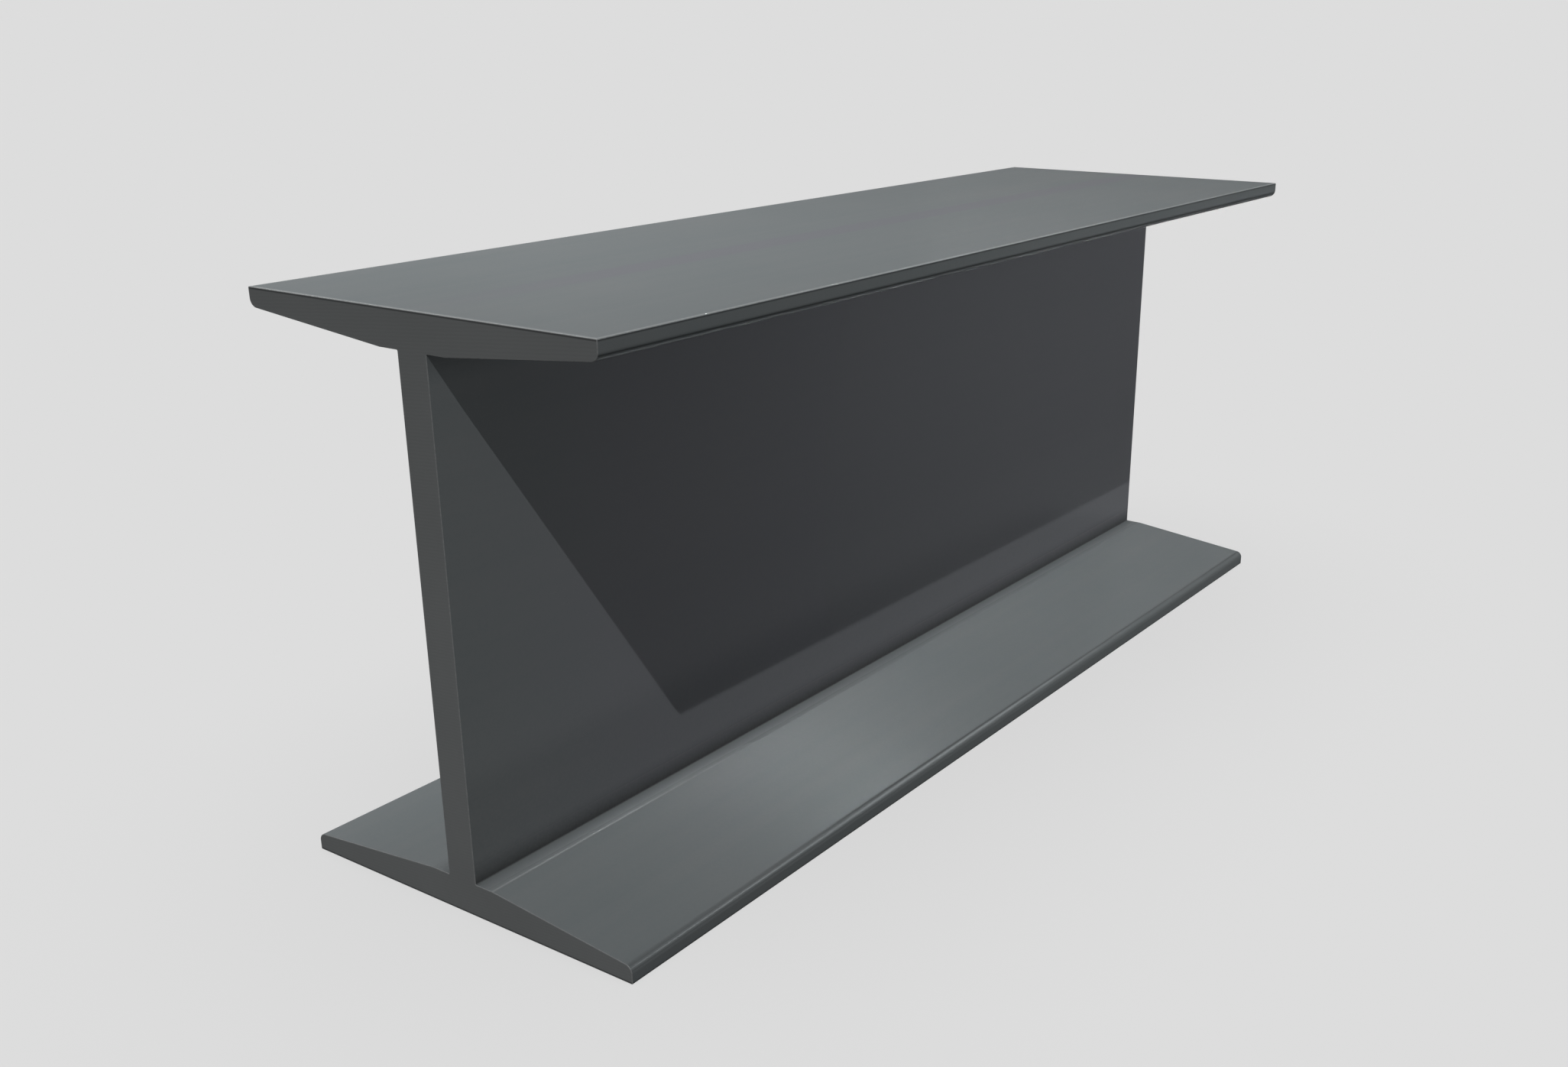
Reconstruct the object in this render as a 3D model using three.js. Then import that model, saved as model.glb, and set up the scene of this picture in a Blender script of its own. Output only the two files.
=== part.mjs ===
// A short length of rolled steel I-beam with tapered flanges, standing on its lower flange.
// Units are millimetres and +Z is up. The beam runs along Y, its web stands in the plane X = 0,
// and the origin is at the centre of the face that it stands on.

import * as THREE from "three";

// Driving dimensions
const BEAM_LENGTH = 488;
const SECTION_HEIGHT = 200; // over the outer faces of both flanges
const FLANGE_WIDTH = 149;
const WEB_THICKNESS = 12.5;
const FLANGE_ROOT_THICKNESS = 12.25; // at the web, and across the whole ledge
const FLANGE_EDGE_THICKNESS = 6.3; // where the tapered face, carried on, meets the edge's plane
const LEDGE_WIDTH = 8; // flat strip of a flange's inner face, between the web and the taper
const TOE_RADIUS = 3; // rounds the inner corner of a flange's edge

// A quarter circle of the toe is drawn as twice this many straight steps.
const TOE_STEPS = 5;

const HOT_ROLLED_STEEL = new THREE.MeshStandardMaterial({
  name: "hot_rolled_steel",
  color: 0x5d6363,
  roughness: 0.5,
  metalness: 0.35,
});

// One quarter of the section: from a flange's outer corner up its edge, round the toe,
// down the taper to the ledge and in to the web. x runs outwards from the web's mid-plane,
// and y runs inwards from the flange's outer face.
function quarterOutline() {
  const edge = FLANGE_WIDTH / 2;
  const web = WEB_THICKNESS / 2;
  const ledge = web + LEDGE_WIDTH;
  const taper = Math.atan2(FLANGE_ROOT_THICKNESS - FLANGE_EDGE_THICKNESS, edge - ledge);

  // The toe's arc touches both the edge's upright face and the tapered face.
  const toeX = edge - TOE_RADIUS;
  const toeY = FLANGE_EDGE_THICKNESS + TOE_RADIUS * (Math.tan(taper) - 1 / Math.cos(taper));

  const quarter = new THREE.Path();
  quarter.moveTo(edge, 0);
  quarter.lineTo(edge, toeY);
  quarter.absarc(toeX, toeY, TOE_RADIUS, 0, Math.PI / 2 - taper, false);
  quarter.lineTo(ledge, FLANGE_ROOT_THICKNESS);
  quarter.lineTo(web, FLANGE_ROOT_THICKNESS);
  return quarter.getPoints(TOE_STEPS);
}

// The whole section, counter-clockwise: the quarter and its three mirror images.
function beamSection() {
  const lowerRight = quarterOutline();
  const upperRight = lowerRight.map(({ x, y }) => new THREE.Vector2(x, SECTION_HEIGHT - y)).reverse();
  const rightSide = [...lowerRight, ...upperRight];
  const leftSide = rightSide.map(({ x, y }) => new THREE.Vector2(-x, y)).reverse();
  return new THREE.Shape([...rightSide, ...leftSide]);
}

// The rolled section, cut square at both ends. A turn about X lays its length along Y.
function rolledBeam() {
  const geometry = new THREE.ExtrudeGeometry(beamSection(), {
    depth: BEAM_LENGTH,
    bevelEnabled: false,
  });
  const beam = new THREE.Mesh(geometry, HOT_ROLLED_STEEL);
  beam.name = "rolled_i_beam";
  beam.rotation.x = Math.PI / 2;
  beam.position.y = BEAM_LENGTH / 2;
  return beam;
}

const steelIBeam = new THREE.Group();
steelIBeam.name = "steel_i_beam";
steelIBeam.add(rolledBeam());

export default steelIBeam;
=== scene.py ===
"""A short length of rolled steel I-beam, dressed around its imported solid. Metres, +Z up."""

import math

import bpy
from mathutils import Matrix, Vector


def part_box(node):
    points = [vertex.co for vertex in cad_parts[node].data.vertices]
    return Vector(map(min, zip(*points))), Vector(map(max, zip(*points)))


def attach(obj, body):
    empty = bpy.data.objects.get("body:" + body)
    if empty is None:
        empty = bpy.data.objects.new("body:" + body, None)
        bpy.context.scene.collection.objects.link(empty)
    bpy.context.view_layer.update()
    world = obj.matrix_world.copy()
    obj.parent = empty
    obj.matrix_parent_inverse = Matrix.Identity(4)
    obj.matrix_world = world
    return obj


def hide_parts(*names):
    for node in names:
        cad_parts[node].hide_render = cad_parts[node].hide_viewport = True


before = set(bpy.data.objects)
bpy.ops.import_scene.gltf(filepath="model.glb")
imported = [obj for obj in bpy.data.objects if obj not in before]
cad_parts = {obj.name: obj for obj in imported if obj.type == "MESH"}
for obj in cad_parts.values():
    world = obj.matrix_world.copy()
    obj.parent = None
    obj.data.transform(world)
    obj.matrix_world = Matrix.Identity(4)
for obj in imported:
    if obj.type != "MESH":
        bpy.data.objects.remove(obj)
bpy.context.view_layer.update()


# ---------------------------------------------------------------------------------------------
# Camera
# It stands off the front right corner, a little above the top flange, and looks down on the
# beam. Its shift puts the beam in the middle of the picture.
# ---------------------------------------------------------------------------------------------

CAMERA_PLACE = (0.3694, -0.5507, 0.2820)
CAMERA_TURN = math.radians(35.03)
CAMERA_DIP = math.radians(20.80)
SENSOR_WIDTH = 36.0  # mm
FOCAL_LENGTH = 36.71  # mm
SHIFT_ACROSS = -0.0387
SHIFT_UP = 0.0515
NEAREST_SEEN = 0.01

camera_data = bpy.data.cameras.new("camera")
camera_data.sensor_width = SENSOR_WIDTH
camera_data.lens = FOCAL_LENGTH
camera_data.shift_x = SHIFT_ACROSS
camera_data.shift_y = SHIFT_UP
camera_data.clip_start = NEAREST_SEEN
camera = bpy.data.objects.new("camera", camera_data)
camera.location = CAMERA_PLACE
camera.rotation_euler = (math.pi / 2 - CAMERA_DIP, 0, CAMERA_TURN)
bpy.context.scene.collection.objects.link(camera)
bpy.context.scene.camera = camera


# ---------------------------------------------------------------------------------------------
# Rolled section
# A bar of steel is squeezed hot through grooved rolls, into a web and two flanges that thin out
# towards their edges. The rolls leave its long corners a little round.
# ---------------------------------------------------------------------------------------------

beam_low, beam_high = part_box("rolled_i_beam")
BEAM_LENGTH = beam_high.y - beam_low.y
SECTION_HEIGHT = beam_high.z - beam_low.z
FLANGE_WIDTH = beam_high.x - beam_low.x
WEB_THICKNESS = 0.0125
ROOT_THICKNESS = 0.01225  # of a flange at the web, and across the whole ledge
EDGE_THICKNESS = 0.0063  # of a flange where its taper, carried on, meets the edge's plane
LEDGE_WIDTH = 0.008  # flat strip between the web and the taper
ARRIS_RADIUS = 0.0004  # the corners of a flange's outer face
TOE_RADIUS = 0.003  # the inner corner of a flange's edge
KINK_RADIUS = 0.001  # between the taper and the ledge
ROOT_RADIUS = 0.0004  # between the ledge and the web
CORNER_STEPS = (5, 14, 2, 6)  # that round off an arris, a toe, a kink and a root
END_LOOKS_ALONG = 0.9  # how much of a sawn end's normal points along the beam, at least


def feed(tree, socket, source):
    """Feeds a node's input from another node's output, or gives it a value."""
    if isinstance(source, bpy.types.NodeSocket):
        tree.links.new(source, socket)
    elif source is not None:
        socket.default_value = source


def node_after(tree, kind, *sources, **settings):
    """Adds a node, sets its properties, and feeds its inputs in order with sockets or values."""
    node = tree.nodes.new(kind)
    for name, value in settings.items():
        setattr(node, name, value)
    inputs = [socket for socket in node.inputs if socket.enabled]
    for socket, source in zip(inputs, sources):
        feed(tree, socket, source)
    return node


def maths_in(tree):
    """Gives a function that adds a Math node to a tree and returns the node's output."""

    def maths(operation, a, b=None, c=None):
        return node_after(tree, "ShaderNodeMath", a, b, c, operation=operation).outputs[0]

    return maths


def rolled_section_tree():
    """Geometry Nodes that round off a section's sixteen corners and sweep it along the beam."""
    tree = bpy.data.node_groups.new("rolled_section", "GeometryNodeTree")
    sizes = (
        ("Beam Length", BEAM_LENGTH),
        ("Section Height", SECTION_HEIGHT),
        ("Flange Width", FLANGE_WIDTH),
        ("Web Thickness", WEB_THICKNESS),
        ("Root Thickness", ROOT_THICKNESS),
        ("Edge Thickness", EDGE_THICKNESS),
        ("Ledge Width", LEDGE_WIDTH),
        ("Arris Radius", ARRIS_RADIUS),
        ("Toe Radius", TOE_RADIUS),
        ("Kink Radius", KINK_RADIUS),
        ("Root Radius", ROOT_RADIUS),
    )
    for name, value in sizes:
        socket = tree.interface.new_socket(name, in_out="INPUT", socket_type="NodeSocketFloat")
        socket.subtype = "DISTANCE"
        socket.default_value = value
    for name in ("Skin", "Sawn End"):
        tree.interface.new_socket(name, in_out="INPUT", socket_type="NodeSocketMaterial")
    tree.interface.new_socket("Geometry", in_out="OUTPUT", socket_type="NodeSocketGeometry")
    size = tree.nodes.new("NodeGroupInput").outputs
    maths = maths_in(tree)

    def whole(operation, a, b):
        return node_after(tree, "FunctionNodeIntegerMath", a, b, operation=operation).outputs[0]

    def pick(choice, *values, data_type="FLOAT"):
        node = tree.nodes.new("GeometryNodeIndexSwitch")
        node.data_type = data_type
        while len(node.index_switch_items) < len(values):
            node.index_switch_items.new()
        for socket, value in zip(node.inputs, (choice, *values)):
            feed(tree, socket, value)
        return node.outputs[0]

    # The corners run round the section: quarter by quarter, every other one taken backwards.
    quarter_corners = len(CORNER_STEPS)
    corner_number = node_after(tree, "GeometryNodeInputIndex").outputs[0]
    quarter = whole("DIVIDE_FLOOR", corner_number, quarter_corners)
    forwards = whole("MODULO", corner_number, quarter_corners)
    backwards = whole("SUBTRACT", quarter_corners - 1, forwards)
    is_turned = whole("MODULO", quarter, 2)
    change = whole("MULTIPLY", is_turned, whole("SUBTRACT", backwards, forwards))
    kind = whole("ADD", forwards, change)

    half_width = maths("MULTIPLY", size["Flange Width"], 0.5)
    half_web = maths("MULTIPLY", size["Web Thickness"], 0.5)
    ledge = maths("ADD", half_web, size["Ledge Width"])
    root = size["Root Thickness"]
    across = pick(kind, half_width, half_width, ledge, half_web)
    inwards = pick(kind, 0.0, size["Edge Thickness"], root, root)
    side = pick(quarter, 1.0, 1.0, -1.0, -1.0)
    from_top = maths("SUBTRACT", size["Section Height"], inwards)
    height = pick(quarter, inwards, from_top, from_top, inwards)
    radius = pick(kind, *(size[name + " Radius"] for name in ("Arris", "Toe", "Kink", "Root")))
    steps = pick(kind, *CORNER_STEPS, data_type="INT")

    # A section lies in the sweep's own plane, which hangs head down along +Y.
    aside = maths("MULTIPLY", across, side)
    hanging = maths("MULTIPLY", height, -1.0)
    place = node_after(tree, "ShaderNodeCombineXYZ", aside, hanging).outputs[0]
    ring = node_after(tree, "GeometryNodeMeshCircle", 4 * quarter_corners).outputs["Mesh"]
    outline = node_after(tree, "GeometryNodeMeshToCurve", ring).outputs[0]
    placed = tree.nodes.new("GeometryNodeSetPosition")
    tree.links.new(outline, placed.inputs["Geometry"])
    tree.links.new(place, placed.inputs["Position"])
    rounded = tree.nodes.new("GeometryNodeFilletCurve")
    rounded.mode = "POLY"
    tree.links.new(placed.outputs[0], rounded.inputs["Curve"])
    tree.links.new(steps, rounded.inputs["Count"])
    tree.links.new(radius, rounded.inputs["Radius"])
    # Taken the other way round, the outline gives faces that point outwards.
    profile = node_after(tree, "GeometryNodeReverseCurve", rounded.outputs[0]).outputs[0]

    to_back = maths("MULTIPLY", size["Beam Length"], 0.5)
    to_front = maths("MULTIPLY", to_back, -1.0)
    front = node_after(tree, "ShaderNodeCombineXYZ", 0.0, to_front).outputs[0]
    back = node_after(tree, "ShaderNodeCombineXYZ", 0.0, to_back).outputs[0]
    line = node_after(tree, "GeometryNodeCurvePrimitiveLine", front, back).outputs[0]
    swept = tree.nodes.new("GeometryNodeCurveToMesh")
    swept.inputs["Fill Caps"].default_value = True
    tree.links.new(line, swept.inputs["Curve"])
    tree.links.new(profile, swept.inputs["Profile Curve"])

    # The sawn ends are the faces that look along the beam.
    facing = node_after(tree, "GeometryNodeInputNormal").outputs[0]
    along = maths("ABSOLUTE", node_after(tree, "ShaderNodeSeparateXYZ", facing).outputs["Y"])
    is_end = maths("GREATER_THAN", along, END_LOOKS_ALONG)
    solid = node_after(tree, "GeometryNodeRealizeInstances", swept.outputs[0]).outputs[0]
    skinned = tree.nodes.new("GeometryNodeSetMaterial")
    tree.links.new(solid, skinned.inputs["Geometry"])
    tree.links.new(size["Skin"], skinned.inputs["Material"])
    sawn = tree.nodes.new("GeometryNodeSetMaterial")
    tree.links.new(skinned.outputs[0], sawn.inputs["Geometry"])
    tree.links.new(is_end, sawn.inputs["Selection"])
    tree.links.new(size["Sawn End"], sawn.inputs["Material"])
    tree.links.new(sawn.outputs[0], tree.nodes.new("NodeGroupOutput").inputs[0])
    return tree


# ---------------------------------------------------------------------------------------------
# Mill scale
# The hot bar cools in air under a thin, hard, blue-grey scale, streaked the way the bar ran. Most
# of the web is painted a more violet tint of reflected light. Painted highlights run round the
# outer faces and along the kink at the front right, and painted light lies low on the web. Painted
# shade darkens the roots, the toes and the lower flange's edges near the floor, and painted dark
# lines lie below the rims.
# ---------------------------------------------------------------------------------------------

BLUE_SCALE = (0.108, 0.121, 0.125)
PALE_SCALE = (0.124, 0.132, 0.135)
TONE_SHARES = {"Mottle": 0.4, "Streak": 0.35, "Grain": 0.25}  # of the way from blue to pale
# A violet tint of reflected light, painted on most of the web.
WEB_REFLECTION_TINT = (0.116, 0.116, 0.130)
WEB_TINT_SHARE = 0.65  # of the painted reflection tint in the web's colour
WEB_TINT_GROWS = (-0.244, -0.16)  # along the beam, from none at its front end
SCALE_METAL = 0.15
STEEL_SHEEN = 0.5  # how much of bare metal's shine is left at a grazing look
SCALE_ROUGHNESS = (0.19, 0.23)  # from where the rolls pressed hardest to where they didn't
# How fine the clouds, streaks and grain are, and the share of it that the streaks keep lengthways.
SCALE_GRAIN = {
    "Mottle Scale": 14.0,
    "Streak Scale": 160.0,
    "Streak Stretch": 0.015,
    "Grain Scale": 900.0,
}
NOISE_SPAN = (0.3, 0.7)  # that most of a noise texture's values lie in
SCALE_RELIEF = 0.00001
GRAIN_IN_RELIEF = 0.5  # the grain's height beside that of the streaks
# How far in from a border and how far down the painted highlight goes, and how deep and wide
# the painted dark line below a rim lies.
EDGE_LINE_SIZES = {
    "Rub Width": 0.0016,
    "Rub Depth": 0.0003,
    "Grime Depth": 0.0005,
    "Grime Reach": 0.0004,
}
# The colour and metal of the painted highlights, and how strongly they show.
HIGHLIGHT_PAINT = (0.30, 0.31, 0.31)
HIGHLIGHT_METAL = 0.3
HIGHLIGHT_STRENGTH = 0.55
HIGHLIGHT_UNEVEN = (0.75, 1.25)  # what a painted highlight is multiplied by, from the lowest grain to the highest
KINK_HIGHLIGHT = (0.36, 0.03)  # the painted highlight's strength along the kink, in front and behind
KINK_HIGHLIGHT_FADES = (-0.185, -0.122)  # along the beam, from the one to the other
KINK_HIGHLIGHT_REACH = 0.0007
KINK_HIGHLIGHT_IN = 0.0003  # how far from the kink towards the web its middle lies
WEB_LIGHT_PAINT = 0.07  # strength of the painted light low on the web
WEB_LIGHT_PAINT_FADES = (0.02, 0.08)  # up the web, from there to nothing
# The dark colour and roughness of all the painted shade and painted dark lines.
SHADE_PAINT = (0.018, 0.019, 0.020)
SHADE_PAINT_ROUGHNESS = 0.6
ROOT_SHADE_REACH = 0.010  # out from a root
ROOT_SHADE_FADE = 1.5  # the power by which it thins out
ROOT_SHADE_BELOW = 0.87  # at the lower flange
ROOT_SHADE_ABOVE = 0.3  # at the upper flange
LEDGE_SHADE_SHARE = 0.57  # of the web's painted shade that is put on the ledge
LOW_EDGE_SHADE = 0.08  # how much painted shade darkens the lower flange's edges, near the floor
# How strongly the painted dark lines below the rims darken the colour.
DARK_LINE_STRENGTH = 0.7
# Each painted shade line along a toe: how far round from its edge's side, how far it spreads, how
# strong it is on the lower flange and on the upper, and what share of that is left in front and
# behind.
TOE_SHADE_LINES = (
    (math.radians(21), 0.0005, (0.35, 0.75), (1.0, 1.0)),
    (math.radians(56), 0.0008, (0.3, 0.15), (1.0, 0.0)),
    (math.radians(72), 0.0009, (0.45, 0.15), (0.0, 1.0)),
)
TOE_SHADE_LINES_CHANGE = (-0.17, -0.10)  # along the beam, from the front's shares to those behind


def new_group(name, *input_names):
    """A new shader node group with number inputs: its tree, inputs and Object coordinates."""
    tree = bpy.data.node_groups.new(name, "ShaderNodeTree")
    for input_name in input_names:
        tree.interface.new_socket(input_name, in_out="INPUT", socket_type="NodeSocketFloat")
    sockets = tree.nodes.new("NodeGroupInput").outputs
    return tree, sockets, node_after(tree, "ShaderNodeTexCoord").outputs["Object"]


def give_outputs(tree, **values):
    """Gives a shader node group its number outputs."""
    result = tree.nodes.new("NodeGroupOutput")
    for name, value in values.items():
        tree.interface.new_socket(name, in_out="OUTPUT", socket_type="NodeSocketFloat")
        tree.links.new(value, result.inputs[name])
    return tree


def vector_in(tree, operation, a, b=None):
    """The vector that a Vector Math node gives."""
    return node_after(tree, "ShaderNodeVectorMath", a, b, operation=operation).outputs["Vector"]


def ramp_in(tree, value, low, high, at_low, at_high):
    """A value that goes from one figure to another between two marks, and stays there."""
    return node_after(tree, "ShaderNodeMapRange", value, low, high, at_low, at_high).outputs[0]


def share_in(tree, share, at_none, at_all):
    """A value that goes from one figure to another as a share goes from 0 to 1."""
    return ramp_in(tree, share, 0.0, 1.0, at_none, at_all)


def near_in(tree, distance, reach):
    """1 where a distance is nothing, down to 0 where it comes to a reach."""
    return ramp_in(tree, distance, 0.0, reach, 1.0, 0.0)


def steel_grain():
    """Cloudy mottle, streaks drawn out along the beam and fine grain, each from 0 to 1."""
    tree, size, place = new_group("steel_grain", *SCALE_GRAIN)
    stretch = node_after(tree, "ShaderNodeCombineXYZ", 1.0, size["Streak Stretch"], 1.0)
    drawn_out = vector_in(tree, "MULTIPLY", place, stretch.outputs[0])

    def noise(where, name, detail):
        scale = size[name + " Scale"]
        pattern = node_after(tree, "ShaderNodeTexNoise", where, scale, detail).outputs[0]
        return ramp_in(tree, pattern, *NOISE_SPAN, 0.0, 1.0)

    return give_outputs(
        tree,
        Mottle=noise(place, "Mottle", detail=4.0),
        Streak=noise(drawn_out, "Streak", detail=3.0),
        Grain=noise(place, "Grain", detail=2.0),
    )


def painted_edge_lines():
    """How far in a point lies from a flange's edge and its outer face, and where edge lines are
    painted.

    A painted highlight runs around the outer faces' borders, and a painted dark line runs round the
    sides below them.
    """
    tree, size, place = new_group("painted_edge_lines", *EDGE_LINE_SIZES)
    maths = maths_in(tree)
    middle = (0, 0, SECTION_HEIGHT / 2)
    half_box = (FLANGE_WIDTH / 2, BEAM_LENGTH / 2, SECTION_HEIGHT / 2)
    folded = vector_in(tree, "ABSOLUTE", vector_in(tree, "SUBTRACT", place, middle))
    depths = vector_in(tree, "SUBTRACT", half_box, folded)
    from_edge, from_end, from_face = node_after(tree, "ShaderNodeSeparateXYZ", depths).outputs
    border = near_in(tree, maths("MINIMUM", from_edge, from_end), size["Rub Width"])
    outermost = near_in(tree, from_face, size["Rub Depth"])
    off_grime = maths("ABSOLUTE", maths("SUBTRACT", from_face, size["Grime Depth"]))
    return give_outputs(
        tree,
        Edge=from_edge,
        Face=from_face,
        Rub=maths("MULTIPLY", border, outermost),
        Grime=near_in(tree, off_grime, size["Grime Reach"]),
    )


GRAIN = steel_grain()
EDGE_LINES = painted_edge_lines()


def grey(level):
    """An opaque grey."""
    return (level, level, level, 1)


def steel_finish(name, metal=None):
    """A new material, its tree and its shader, which shines as steel does."""
    material = bpy.data.materials.new(name)
    material.use_nodes = True
    shader = material.node_tree.nodes["Principled BSDF"]
    shader.inputs["Specular IOR Level"].default_value = 0.0
    shader.inputs["Specular Tint"].default_value = grey(STEEL_SHEEN)
    if metal is not None:
        shader.inputs["Metallic"].default_value = metal
    return material, material.node_tree, shader


def effect_in(tree, group, sizes):
    """The outputs of a shared effect, placed in a material with sizes of its own."""
    node = node_after(tree, "ShaderNodeGroup", node_tree=group)
    for name, value in sizes.items():
        node.inputs[name].default_value = value
    return node.outputs


def blend_in(tree, share, below, above):
    """What a Mix node makes of two colours, or of the colours that two sockets bring."""
    ends = (end if isinstance(end, bpy.types.NodeSocket) else (*end, 1) for end in (below, above))
    mix = node_after(tree, "ShaderNodeMix", share, *ends, data_type="RGBA")
    return next(socket for socket in mix.outputs if socket.enabled)


def relief_in(tree, shader, height, depth):
    """Feeds a height to the shader's normal as relief, with a depth for each 1 of it."""
    relief = tree.nodes.new("ShaderNodeBump")
    relief.inputs["Distance"].default_value = depth
    tree.links.new(height, relief.inputs["Height"])
    tree.links.new(relief.outputs[0], shader.inputs["Normal"])


def mill_scale():
    """The skin of the long faces."""
    material, tree, shader = steel_finish("mill_scale")
    maths = maths_in(tree)
    grain = effect_in(tree, GRAIN, SCALE_GRAIN)
    edge_lines = effect_in(tree, EDGE_LINES, EDGE_LINE_SIZES)
    place = node_after(tree, "ShaderNodeTexCoord").outputs["Object"]
    across, along, height = node_after(tree, "ShaderNodeSeparateXYZ", place).outputs
    depths = node_after(tree, "ShaderNodeCombineXYZ", edge_lines["Edge"], edge_lines["Face"]).outputs[0]
    web_at = (FLANGE_WIDTH - WEB_THICKNESS) / 2  # in from a flange's edge
    kink_at = web_at - LEDGE_WIDTH
    on_web = ramp_in(tree, edge_lines["Edge"], web_at - ROOT_RADIUS, web_at, 0.0, 1.0)

    def distance_to(from_edge, from_face):
        corner = (from_edge, from_face, 0)
        apart = node_after(tree, "ShaderNodeVectorMath", depths, corner, operation="DISTANCE")
        return apart.outputs["Value"]

    def up_the_beam(below, above):
        return ramp_in(tree, height, 0.0, SECTION_HEIGHT, below, above)

    # Painted highlights run along the rims and along the kink on the right, mostly near the front,
    # and painted light lies faintly low on the web.
    kink_highlight = near_in(tree, distance_to(kink_at + KINK_HIGHLIGHT_IN, ROOT_THICKNESS), KINK_HIGHLIGHT_REACH)
    kink_highlight = maths("MULTIPLY", kink_highlight, ramp_in(tree, along, *KINK_HIGHLIGHT_FADES, *KINK_HIGHLIGHT))
    kink_highlight = maths("MULTIPLY", kink_highlight, maths("GREATER_THAN", across, 0.0))
    low_web_light = maths("MULTIPLY", on_web, ramp_in(tree, height, *WEB_LIGHT_PAINT_FADES, WEB_LIGHT_PAINT, 0.0))
    painted_highlight = maths("MULTIPLY", edge_lines["Rub"], HIGHLIGHT_STRENGTH)
    painted_highlight = maths("MAXIMUM", painted_highlight, maths("MAXIMUM", kink_highlight, low_web_light))
    painted_highlight = maths("MULTIPLY", painted_highlight, share_in(tree, grain["Grain"], *HIGHLIGHT_UNEVEN))

    # Painted shade lies darkest in the roots, more of it up the web than over the ledge.
    painted_shade = near_in(tree, distance_to(web_at, ROOT_THICKNESS), ROOT_SHADE_REACH)
    painted_shade = maths("POWER", painted_shade, ROOT_SHADE_FADE)
    painted_shade = maths("MULTIPLY", painted_shade, up_the_beam(ROOT_SHADE_BELOW, ROOT_SHADE_ABOVE))
    painted_shade = maths("MULTIPLY", painted_shade, share_in(tree, on_web, LEDGE_SHADE_SHARE, 1.0))
    # Painted shade darkens the lower flange's edges near the floor, and painted dark lines lie
    # below the rims.
    on_edge = near_in(tree, edge_lines["Edge"], ARRIS_RADIUS)
    low_edge_shade = maths("MULTIPLY", on_edge, up_the_beam(LOW_EDGE_SHADE, 0.0))
    rim_dark_lines = maths("MULTIPLY", edge_lines["Grime"], DARK_LINE_STRENGTH)
    painted_shade = maths("MAXIMUM", painted_shade, maths("MAXIMUM", low_edge_shade, rim_dark_lines))

    # The middle of a toe's round lies toe_at from the outer face, and its radius in from the edge.
    taper = math.atan2(ROOT_THICKNESS - EDGE_THICKNESS, kink_at)
    toe_at = EDGE_THICKNESS + TOE_RADIUS * (math.tan(taper) - 1 / math.cos(taper))
    # Painted shade lines run along the toes.
    for round_toe, reach, up_the_side, along_the_beam in TOE_SHADE_LINES:
        line_in = TOE_RADIUS * (1 - math.cos(round_toe))
        line_up = toe_at + TOE_RADIUS * math.sin(round_toe)
        line = near_in(tree, distance_to(line_in, line_up), reach)
        left = ramp_in(tree, along, *TOE_SHADE_LINES_CHANGE, *along_the_beam)
        strength = maths("MULTIPLY", up_the_beam(*up_the_side), left)
        painted_shade = maths("MAXIMUM", painted_shade, maths("MULTIPLY", line, strength))

    tone = 0.0
    for pattern, share in TONE_SHARES.items():
        tone = maths("MULTIPLY_ADD", grain[pattern], share, tone)
    colour = blend_in(tree, tone, BLUE_SCALE, PALE_SCALE)
    # Most of the web gets a painted violet tint of reflected light.
    tinted = maths("MULTIPLY", on_web, ramp_in(tree, along, *WEB_TINT_GROWS, 0.0, WEB_TINT_SHARE))
    colour = blend_in(tree, tinted, colour, WEB_REFLECTION_TINT)
    # Painted shade and painted highlights go over the colour.
    colour = blend_in(tree, painted_shade, colour, SHADE_PAINT)
    colour = blend_in(tree, painted_highlight, colour, HIGHLIGHT_PAINT)
    tree.links.new(colour, shader.inputs["Base Color"])

    pressed = share_in(tree, grain["Streak"], *SCALE_ROUGHNESS)
    dulled = share_in(tree, painted_shade, pressed, SHADE_PAINT_ROUGHNESS)
    tree.links.new(dulled, shader.inputs["Roughness"])
    bared = share_in(tree, painted_highlight, SCALE_METAL, HIGHLIGHT_METAL)
    tree.links.new(bared, shader.inputs["Metallic"])
    relief = maths("MULTIPLY_ADD", grain["Grain"], GRAIN_IN_RELIEF, grain["Streak"])
    relief_in(tree, shader, relief, SCALE_RELIEF)
    return material


# ---------------------------------------------------------------------------------------------
# Sawn ends
# A saw cuts the bar off square and leaves bare grey steel, with fine, nearly level lines across
# the whole section. A file then takes the burr off, and leaves a narrow slope all round.
# ---------------------------------------------------------------------------------------------

DARK_SAWN = (0.113, 0.118, 0.119)
PALE_SAWN = (0.127, 0.132, 0.133)
SAW_LINE_SHARE = 0.3  # of the way from dark to pale, and the rest is mottle
SAWN_METAL = 0.15
SAWN_ROUGHNESS = (0.28, 0.36)
SAWN_GRAIN = {
    "Mottle Scale": 20.0,
    "Streak Scale": 300.0,
    "Streak Stretch": 1.0,
    "Grain Scale": 1200.0,
}
SAW_LINE_SPACING = 0.0011
WAVES_PER_UNIT = 20 / math.tau  # that a wave texture draws at a scale of 1
SAW_LINE_WANDER = 2.0
SAW_LINE_TILT = math.radians(5)
SAW_RELIEF = 0.000005
GRAIN_IN_SAW_RELIEF = 0.3  # the grain's height beside that of the saw lines
DARK_FILED = (0.132, 0.138, 0.139)
PALE_FILED = (0.163, 0.169, 0.170)
FILED_METAL = 0.2
FILED_ROUGHNESS = 0.35


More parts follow.
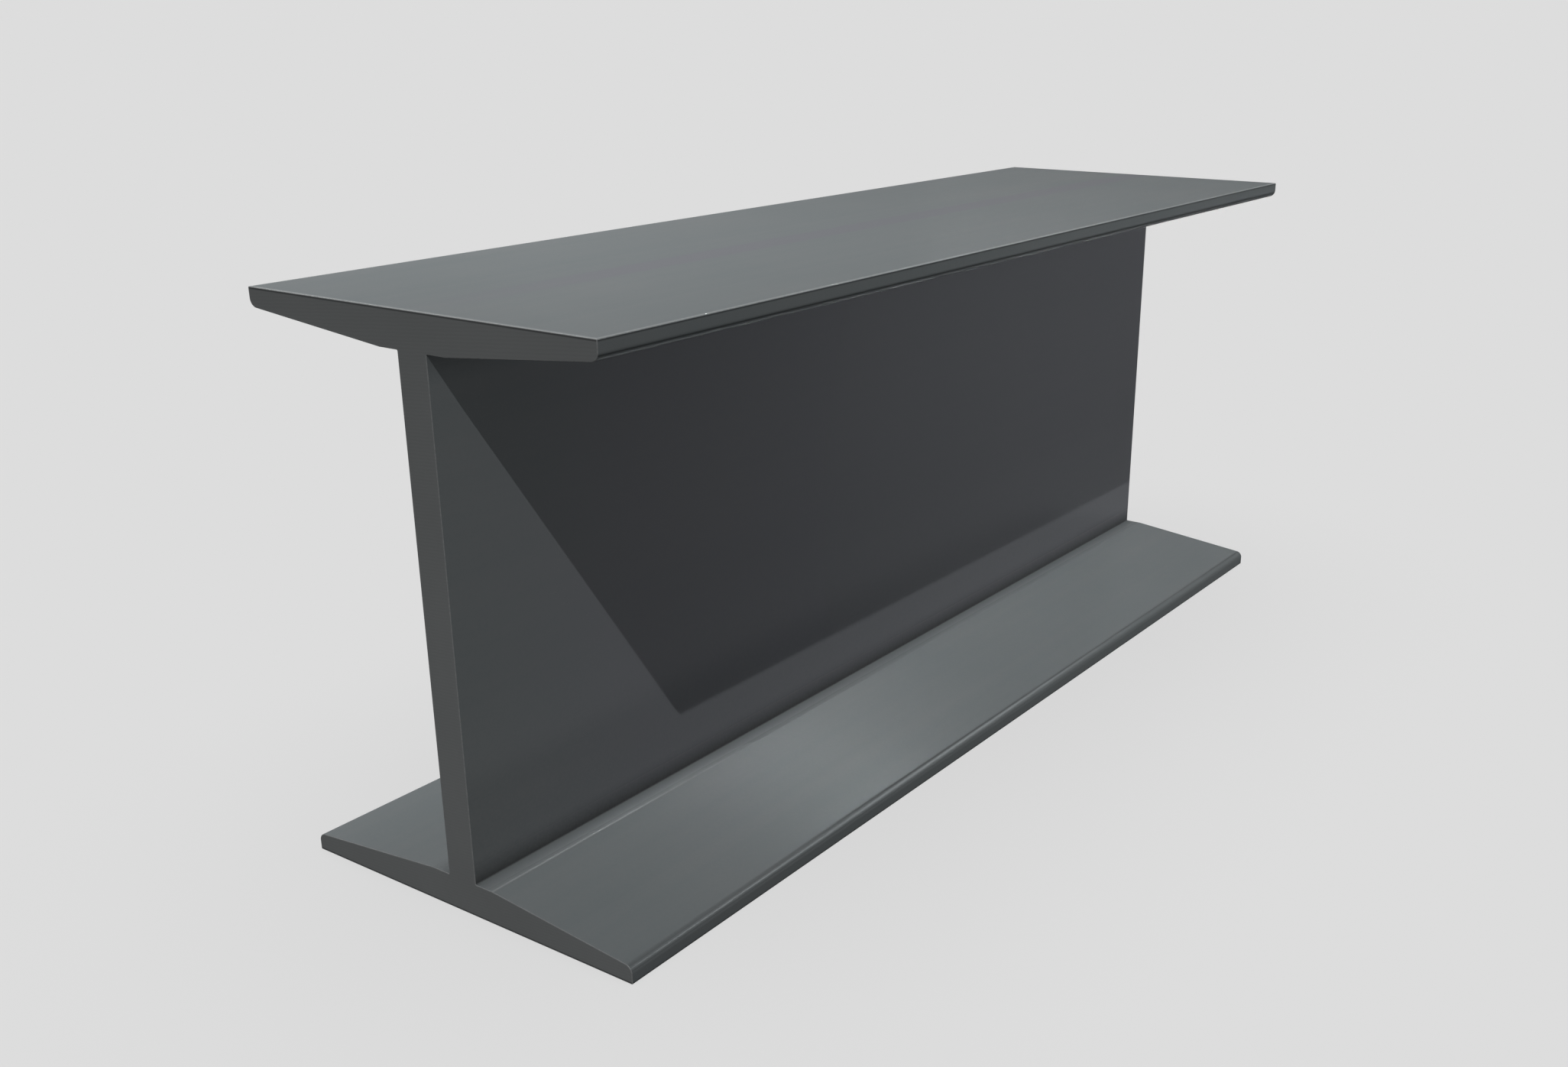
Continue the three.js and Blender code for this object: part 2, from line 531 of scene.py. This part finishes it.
def sawn_face():
    """The flat of an end."""
    material, tree, shader = steel_finish("sawn_end", SAWN_METAL)
    maths = maths_in(tree)
    grain = effect_in(tree, GRAIN, SAWN_GRAIN)
    # A painted dark line lies below the rims of the outer faces.
    end_dark_line = maths("MULTIPLY", effect_in(tree, EDGE_LINES, EDGE_LINE_SIZES)["Grime"], DARK_LINE_STRENGTH)
    place = node_after(tree, "ShaderNodeTexCoord").outputs["Object"]
    tilted = node_after(tree, "ShaderNodeMapping", place, None, (0, SAW_LINE_TILT, 0)).outputs[0]
    wave = node_after(tree, "ShaderNodeTexWave", tilted, bands_direction="Z")
    wave.inputs["Scale"].default_value = 1 / (SAW_LINE_SPACING * WAVES_PER_UNIT)
    wave.inputs["Distortion"].default_value = SAW_LINE_WANDER
    lines = wave.outputs["Fac"]

    mottle = maths("MULTIPLY", grain["Mottle"], 1.0 - SAW_LINE_SHARE)
    tone = maths("MULTIPLY_ADD", lines, SAW_LINE_SHARE, mottle)
    colour = blend_in(tree, end_dark_line, blend_in(tree, tone, DARK_SAWN, PALE_SAWN), SHADE_PAINT)
    tree.links.new(colour, shader.inputs["Base Color"])
    roughness = share_in(tree, grain["Mottle"], *SAWN_ROUGHNESS)
    tree.links.new(roughness, shader.inputs["Roughness"])
    relief = maths("MULTIPLY_ADD", grain["Grain"], GRAIN_IN_SAW_RELIEF, lines)
    relief_in(tree, shader, relief, SAW_RELIEF)
    return material


def filed_slope():
    """The narrow slope around an end."""
    material, tree, shader = steel_finish("filed_slope", FILED_METAL)
    grain = effect_in(tree, GRAIN, SAWN_GRAIN)
    # The painted highlight around the outer faces' borders runs over the slope too.
    painted_highlight = maths_in(tree)("MULTIPLY", effect_in(tree, EDGE_LINES, EDGE_LINE_SIZES)["Rub"], HIGHLIGHT_STRENGTH)
    colour = blend_in(tree, grain["Grain"], DARK_FILED, PALE_FILED)
    colour = blend_in(tree, painted_highlight, colour, HIGHLIGHT_PAINT)
    tree.links.new(colour, shader.inputs["Base Color"])
    shader.inputs["Roughness"].default_value = FILED_ROUGHNESS
    relief_in(tree, shader, grain["Grain"], SAW_RELIEF)
    return material


# ---------------------------------------------------------------------------------------------
# Finished beam
# The section runs the bar's whole length without a joint or a hole. Both ends are sawn square
# and filed, and the piece stands on its lower flange.
# ---------------------------------------------------------------------------------------------

FILED_WIDTH = 0.00025
FILED_STEPS = 3
FILED_FROM = math.radians(60)  # the least turn of an edge that is filed
LARGEST_FACES_LEAD = 100  # in the normals, so that the flats stay flat beside the round corners
SLOPE_LOOKS_ALONG = (0.01, 0.99)  # how much of a slope's normal points along the beam
LONG_FACE, END_FACE, SLOPE = 0, 1, 2  # the finishes' slots on the mesh

blank = bpy.data.objects.new("blank", bpy.data.meshes.new("blank"))
bpy.context.scene.collection.objects.link(blank)
finishes = (mill_scale(), sawn_face(), filed_slope())
sweep = blank.modifiers.new("sweep", "NODES")
sweep.node_group = rolled_section_tree()
for socket in sweep.node_group.interface.items_tree:
    if socket.name == "Skin":
        sweep[socket.identifier] = finishes[LONG_FACE]
    if socket.name == "Sawn End":
        sweep[socket.identifier] = finishes[END_FACE]
filed = blank.modifiers.new("filed", "BEVEL")
filed.width = FILED_WIDTH
filed.segments = FILED_STEPS
filed.limit_method = "ANGLE"
filed.angle_limit = FILED_FROM
filed.use_clamp_overlap = False
true_flats = blank.modifiers.new("true_flats", "WEIGHTED_NORMAL")
true_flats.weight = LARGEST_FACES_LEAD

evaluated = blank.evaluated_get(bpy.context.evaluated_depsgraph_get())
beam_mesh = bpy.data.meshes.new_from_object(evaluated)
bpy.data.meshes.remove(blank.data)  # and with it the blank and its modifiers
beam_mesh.name = "rolled_beam"
beam_mesh.materials.append(finishes[SLOPE])
slope_least, slope_most = SLOPE_LOOKS_ALONG
for face in beam_mesh.polygons:
    if slope_least < abs(face.normal.y) < slope_most:
        face.material_index = SLOPE
rolled_beam = bpy.data.objects.new("rolled_beam", beam_mesh)
bpy.context.scene.collection.objects.link(rolled_beam)
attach(rolled_beam, "root")
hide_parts("rolled_i_beam")


# ---------------------------------------------------------------------------------------------
# Floor
# A plain pale studio floor, wide enough to fill the picture from every side. It is drawn at the
# backdrop's grey, and keeps the beam's soft shadow.
# ---------------------------------------------------------------------------------------------

BACKDROP_GREY = 0.723
FLOOR_HALF = 40.0
SHADOW_SHARE = 0.15  # of the floor's own light that the beam can shade
FLOOR_BOUNCE = 0.06  # the grey by which the floor throws light back on the beam

floor_mesh = bpy.data.meshes.new("floor")
corners = [(x * FLOOR_HALF, y * FLOOR_HALF, 0) for x, y in ((-1, -1), (1, -1), (1, 1), (-1, 1))]
floor_mesh.from_pydata(corners, [], [(0, 1, 2, 3)])
floor = bpy.data.objects.new("floor", floor_mesh)
bpy.context.scene.collection.objects.link(floor)


def seen_directly(tree):
    """1 for a ray that shows the backdrop itself: from the camera, or off metal or glass."""
    rays = node_after(tree, "ShaderNodeLightPath").outputs
    maths = maths_in(tree)
    shiny = maths("MAXIMUM", rays["Is Glossy Ray"], rays["Is Transmission Ray"])
    return maths("MAXIMUM", rays["Is Camera Ray"], shiny)


floor_paint = bpy.data.materials.new("floor_paint")
floor_paint.use_nodes = True
tree = floor_paint.node_tree
tree.nodes.clear()
shaded = node_after(tree, "ShaderNodeBsdfDiffuse", grey(BACKDROP_GREY)).outputs[0]
even = node_after(tree, "ShaderNodeEmission", grey(1), BACKDROP_GREY).outputs[0]
drawn = node_after(tree, "ShaderNodeMixShader", SHADOW_SHARE, even, shaded).outputs[0]
bounce = node_after(tree, "ShaderNodeBsdfDiffuse", grey(FLOOR_BOUNCE)).outputs[0]
floor_shader = node_after(tree, "ShaderNodeMixShader", seen_directly(tree), bounce, drawn)
floor_output = tree.nodes.new("ShaderNodeOutputMaterial")
tree.links.new(floor_shader.outputs[0], floor_output.inputs["Surface"])
floor_mesh.materials.append(floor_paint)


# ---------------------------------------------------------------------------------------------
# Studio light
# A key light from high above the camera throws the top flange's shadow on the web. The other
# lamps fill in, or are only mirrored in the steel. The floor has a soft lamp of its own.
# ---------------------------------------------------------------------------------------------

KEY_TOWARDS = Vector((0.3348, -0.5156, 0.7887))
KEY_STRENGTH = 2.28
KEY_ANGLE = math.radians(0.3)
AIR_STRENGTH = 0.1  # even light from all round
FLOOR_LIGHT_TOWARDS = Vector((0, 0, 1))
FLOOR_LIGHT_STRENGTH = math.pi * (1 - AIR_STRENGTH)  # the floor's colour renders as written
FLOOR_LIGHT_ANGLE = math.radians(70)
WEB_BOX_SPREAD = math.radians(70)
BACK_WALL = 1.2  # how far behind the beam's middle the mirrored lamps stand


def receivers(name, lit_object):
    """A collection by which a lamp lights one object alone."""
    collection = bpy.data.collections.new(name)
    collection.objects.link(lit_object)
    return collection


BEAM_ALONE = receivers("beam_alone", rolled_beam)
FLOOR_ALONE = receivers("floor_alone", floor)


def studio_lamp(name, data, lit, casts_shadow=True, sheen_only=False, mirrored=True):
    """A lamp that lights one object and stays out of sight.

    One that casts no shadow isn't also looked for by rays off the steel, which the beam stops.
    """
    data.use_shadow = casts_shadow
    data.cycles.use_multiple_importance_sampling = casts_shadow
    lamp = bpy.data.objects.new(name, data)
    lamp.light_linking.receiver_collection = lit
    lamp.visible_camera = False
    lamp.visible_diffuse = not sheen_only
    lamp.visible_glossy = mirrored
    bpy.context.scene.collection.objects.link(lamp)
    return lamp


def far_lamp(name, towards, strength, angle, lit):
    """A lamp so far off that its light comes from one side, or from a wide patch of sky."""
    data = bpy.data.lights.new(name, "SUN")
    data.energy = strength
    data.angle = angle
    studio_lamp(name, data, lit).rotation_euler = towards.to_track_quat("Z", "Y").to_euler()


def softbox(name, left_end, right_end, depth, facing, power, spread=math.pi, **options):
    """A rectangular lamp between two points, turned about its long side to face a third."""
    left_end, right_end, facing = Vector(left_end), Vector(right_end), Vector(facing)
    middle = (left_end + right_end) / 2
    along = (right_end - left_end).normalized()
    away = middle - facing
    away = (away - along * away.dot(along)).normalized()
    data = bpy.data.lights.new(name, "AREA")
    data.shape = "RECTANGLE"
    data.size = (right_end - left_end).length
    data.size_y = depth
    data.energy = power
    data.spread = spread
    turn = Matrix((along, away.cross(along), away)).transposed().to_4x4()
    lamp = studio_lamp(name, data, BEAM_ALONE, **options)
    lamp.matrix_world = Matrix.Translation(middle) @ turn


def fill_lamp(name, **box):
    """A softbox that no face mirrors and that shines through the beam."""
    softbox(name, casts_shadow=False, mirrored=False, **box)


def mirrored_lamp(name, left, right, low, high, power, shines_through=True):
    """An upright lamp behind the beam, above the floor's level or below, that is only mirrored."""
    height = (low + high) / 2
    softbox(
        name,
        left_end=(left, BACK_WALL, height),
        right_end=(right, BACK_WALL, height),
        depth=high - low,
        facing=((left + right) / 2, 0, height),
        power=power,
        casts_shadow=not shines_through,
        sheen_only=True,
    )


far_lamp("key_light", KEY_TOWARDS, KEY_STRENGTH, KEY_ANGLE, BEAM_ALONE)
far_lamp(
    "floor_light",
    FLOOR_LIGHT_TOWARDS,
    FLOOR_LIGHT_STRENGTH,
    FLOOR_LIGHT_ANGLE,
    FLOOR_ALONE,
)
softbox(
    "top_box",
    left_end=(-0.18, -0.2, 0.6),
    right_end=(0.02, -0.2, 0.6),
    depth=0.1,
    facing=(-0.08, -0.2, 0),
    power=1.22,
    mirrored=False,
)
fill_lamp(
    "end_box",
    left_end=(-0.15, -0.45, 0.03),
    right_end=(0.15, -0.45, 0.03),
    depth=0.05,
    facing=(0, -0.244, 0.05),
    power=0.066,
)
fill_lamp(
    "left_box",
    left_end=(-0.9, 0.3, 0.5),
    right_end=(-0.9, -0.3, 0.5),
    depth=0.5,
    facing=(0, 0, 0.1),
    power=11.7,
)
fill_lamp(
    "right_box",
    left_end=(0.577, 0.520, 0.25),
    right_end=(0.323, 0.680, 0.25),
    depth=0.3,
    facing=(0, 0.2, 0.1),
    power=1.44,
)
fill_lamp(
    "web_box",
    left_end=(0.45, 0.25, 0.4),
    right_end=(0.45, -0.05, 0.4),
    depth=0.2,
    facing=(0, 0.1, 0.15),
    power=0.09,
    spread=WEB_BOX_SPREAD,
)
mirrored_lamp("tube", left=-1.5, right=-0.5, low=0.945, high=1.005, power=5.86)
mirrored_lamp(
    "right_tube", left=0.1, right=1.65, low=0.77, high=1.02, power=12.2, shines_through=False
)
mirrored_lamp("window", left=-0.72, right=-0.15, low=0.42, high=0.88, power=1.15)
mirrored_lamp("low_window", left=-0.85, right=0.15, low=-1.35, high=-0.87, power=5.1)
mirrored_lamp("low_middle", left=-0.7, right=0.15, low=-0.87, high=-0.5, power=3.2)
mirrored_lamp("low_strip", left=-0.5, right=0.15, low=-0.5, high=-0.15, power=1.9)

# The air's light is even, so the room needs no samples of its own.
room = bpy.data.worlds.new("room")
bpy.context.scene.world = room
room.use_nodes = True
room.cycles.sampling_method = "NONE"
tree = room.node_tree
tree.nodes.clear()
air = node_after(tree, "ShaderNodeBackground", grey(1), AIR_STRENGTH).outputs[0]
backdrop = node_after(tree, "ShaderNodeBackground", grey(1), BACKDROP_GREY).outputs[0]
room_shader = node_after(tree, "ShaderNodeMixShader", seen_directly(tree), air, backdrop)
room_output = tree.nodes.new("ShaderNodeOutputWorld")
tree.links.new(room_shader.outputs[0], room_output.inputs["Surface"])

bpy.context.scene.view_settings.view_transform = "Standard"
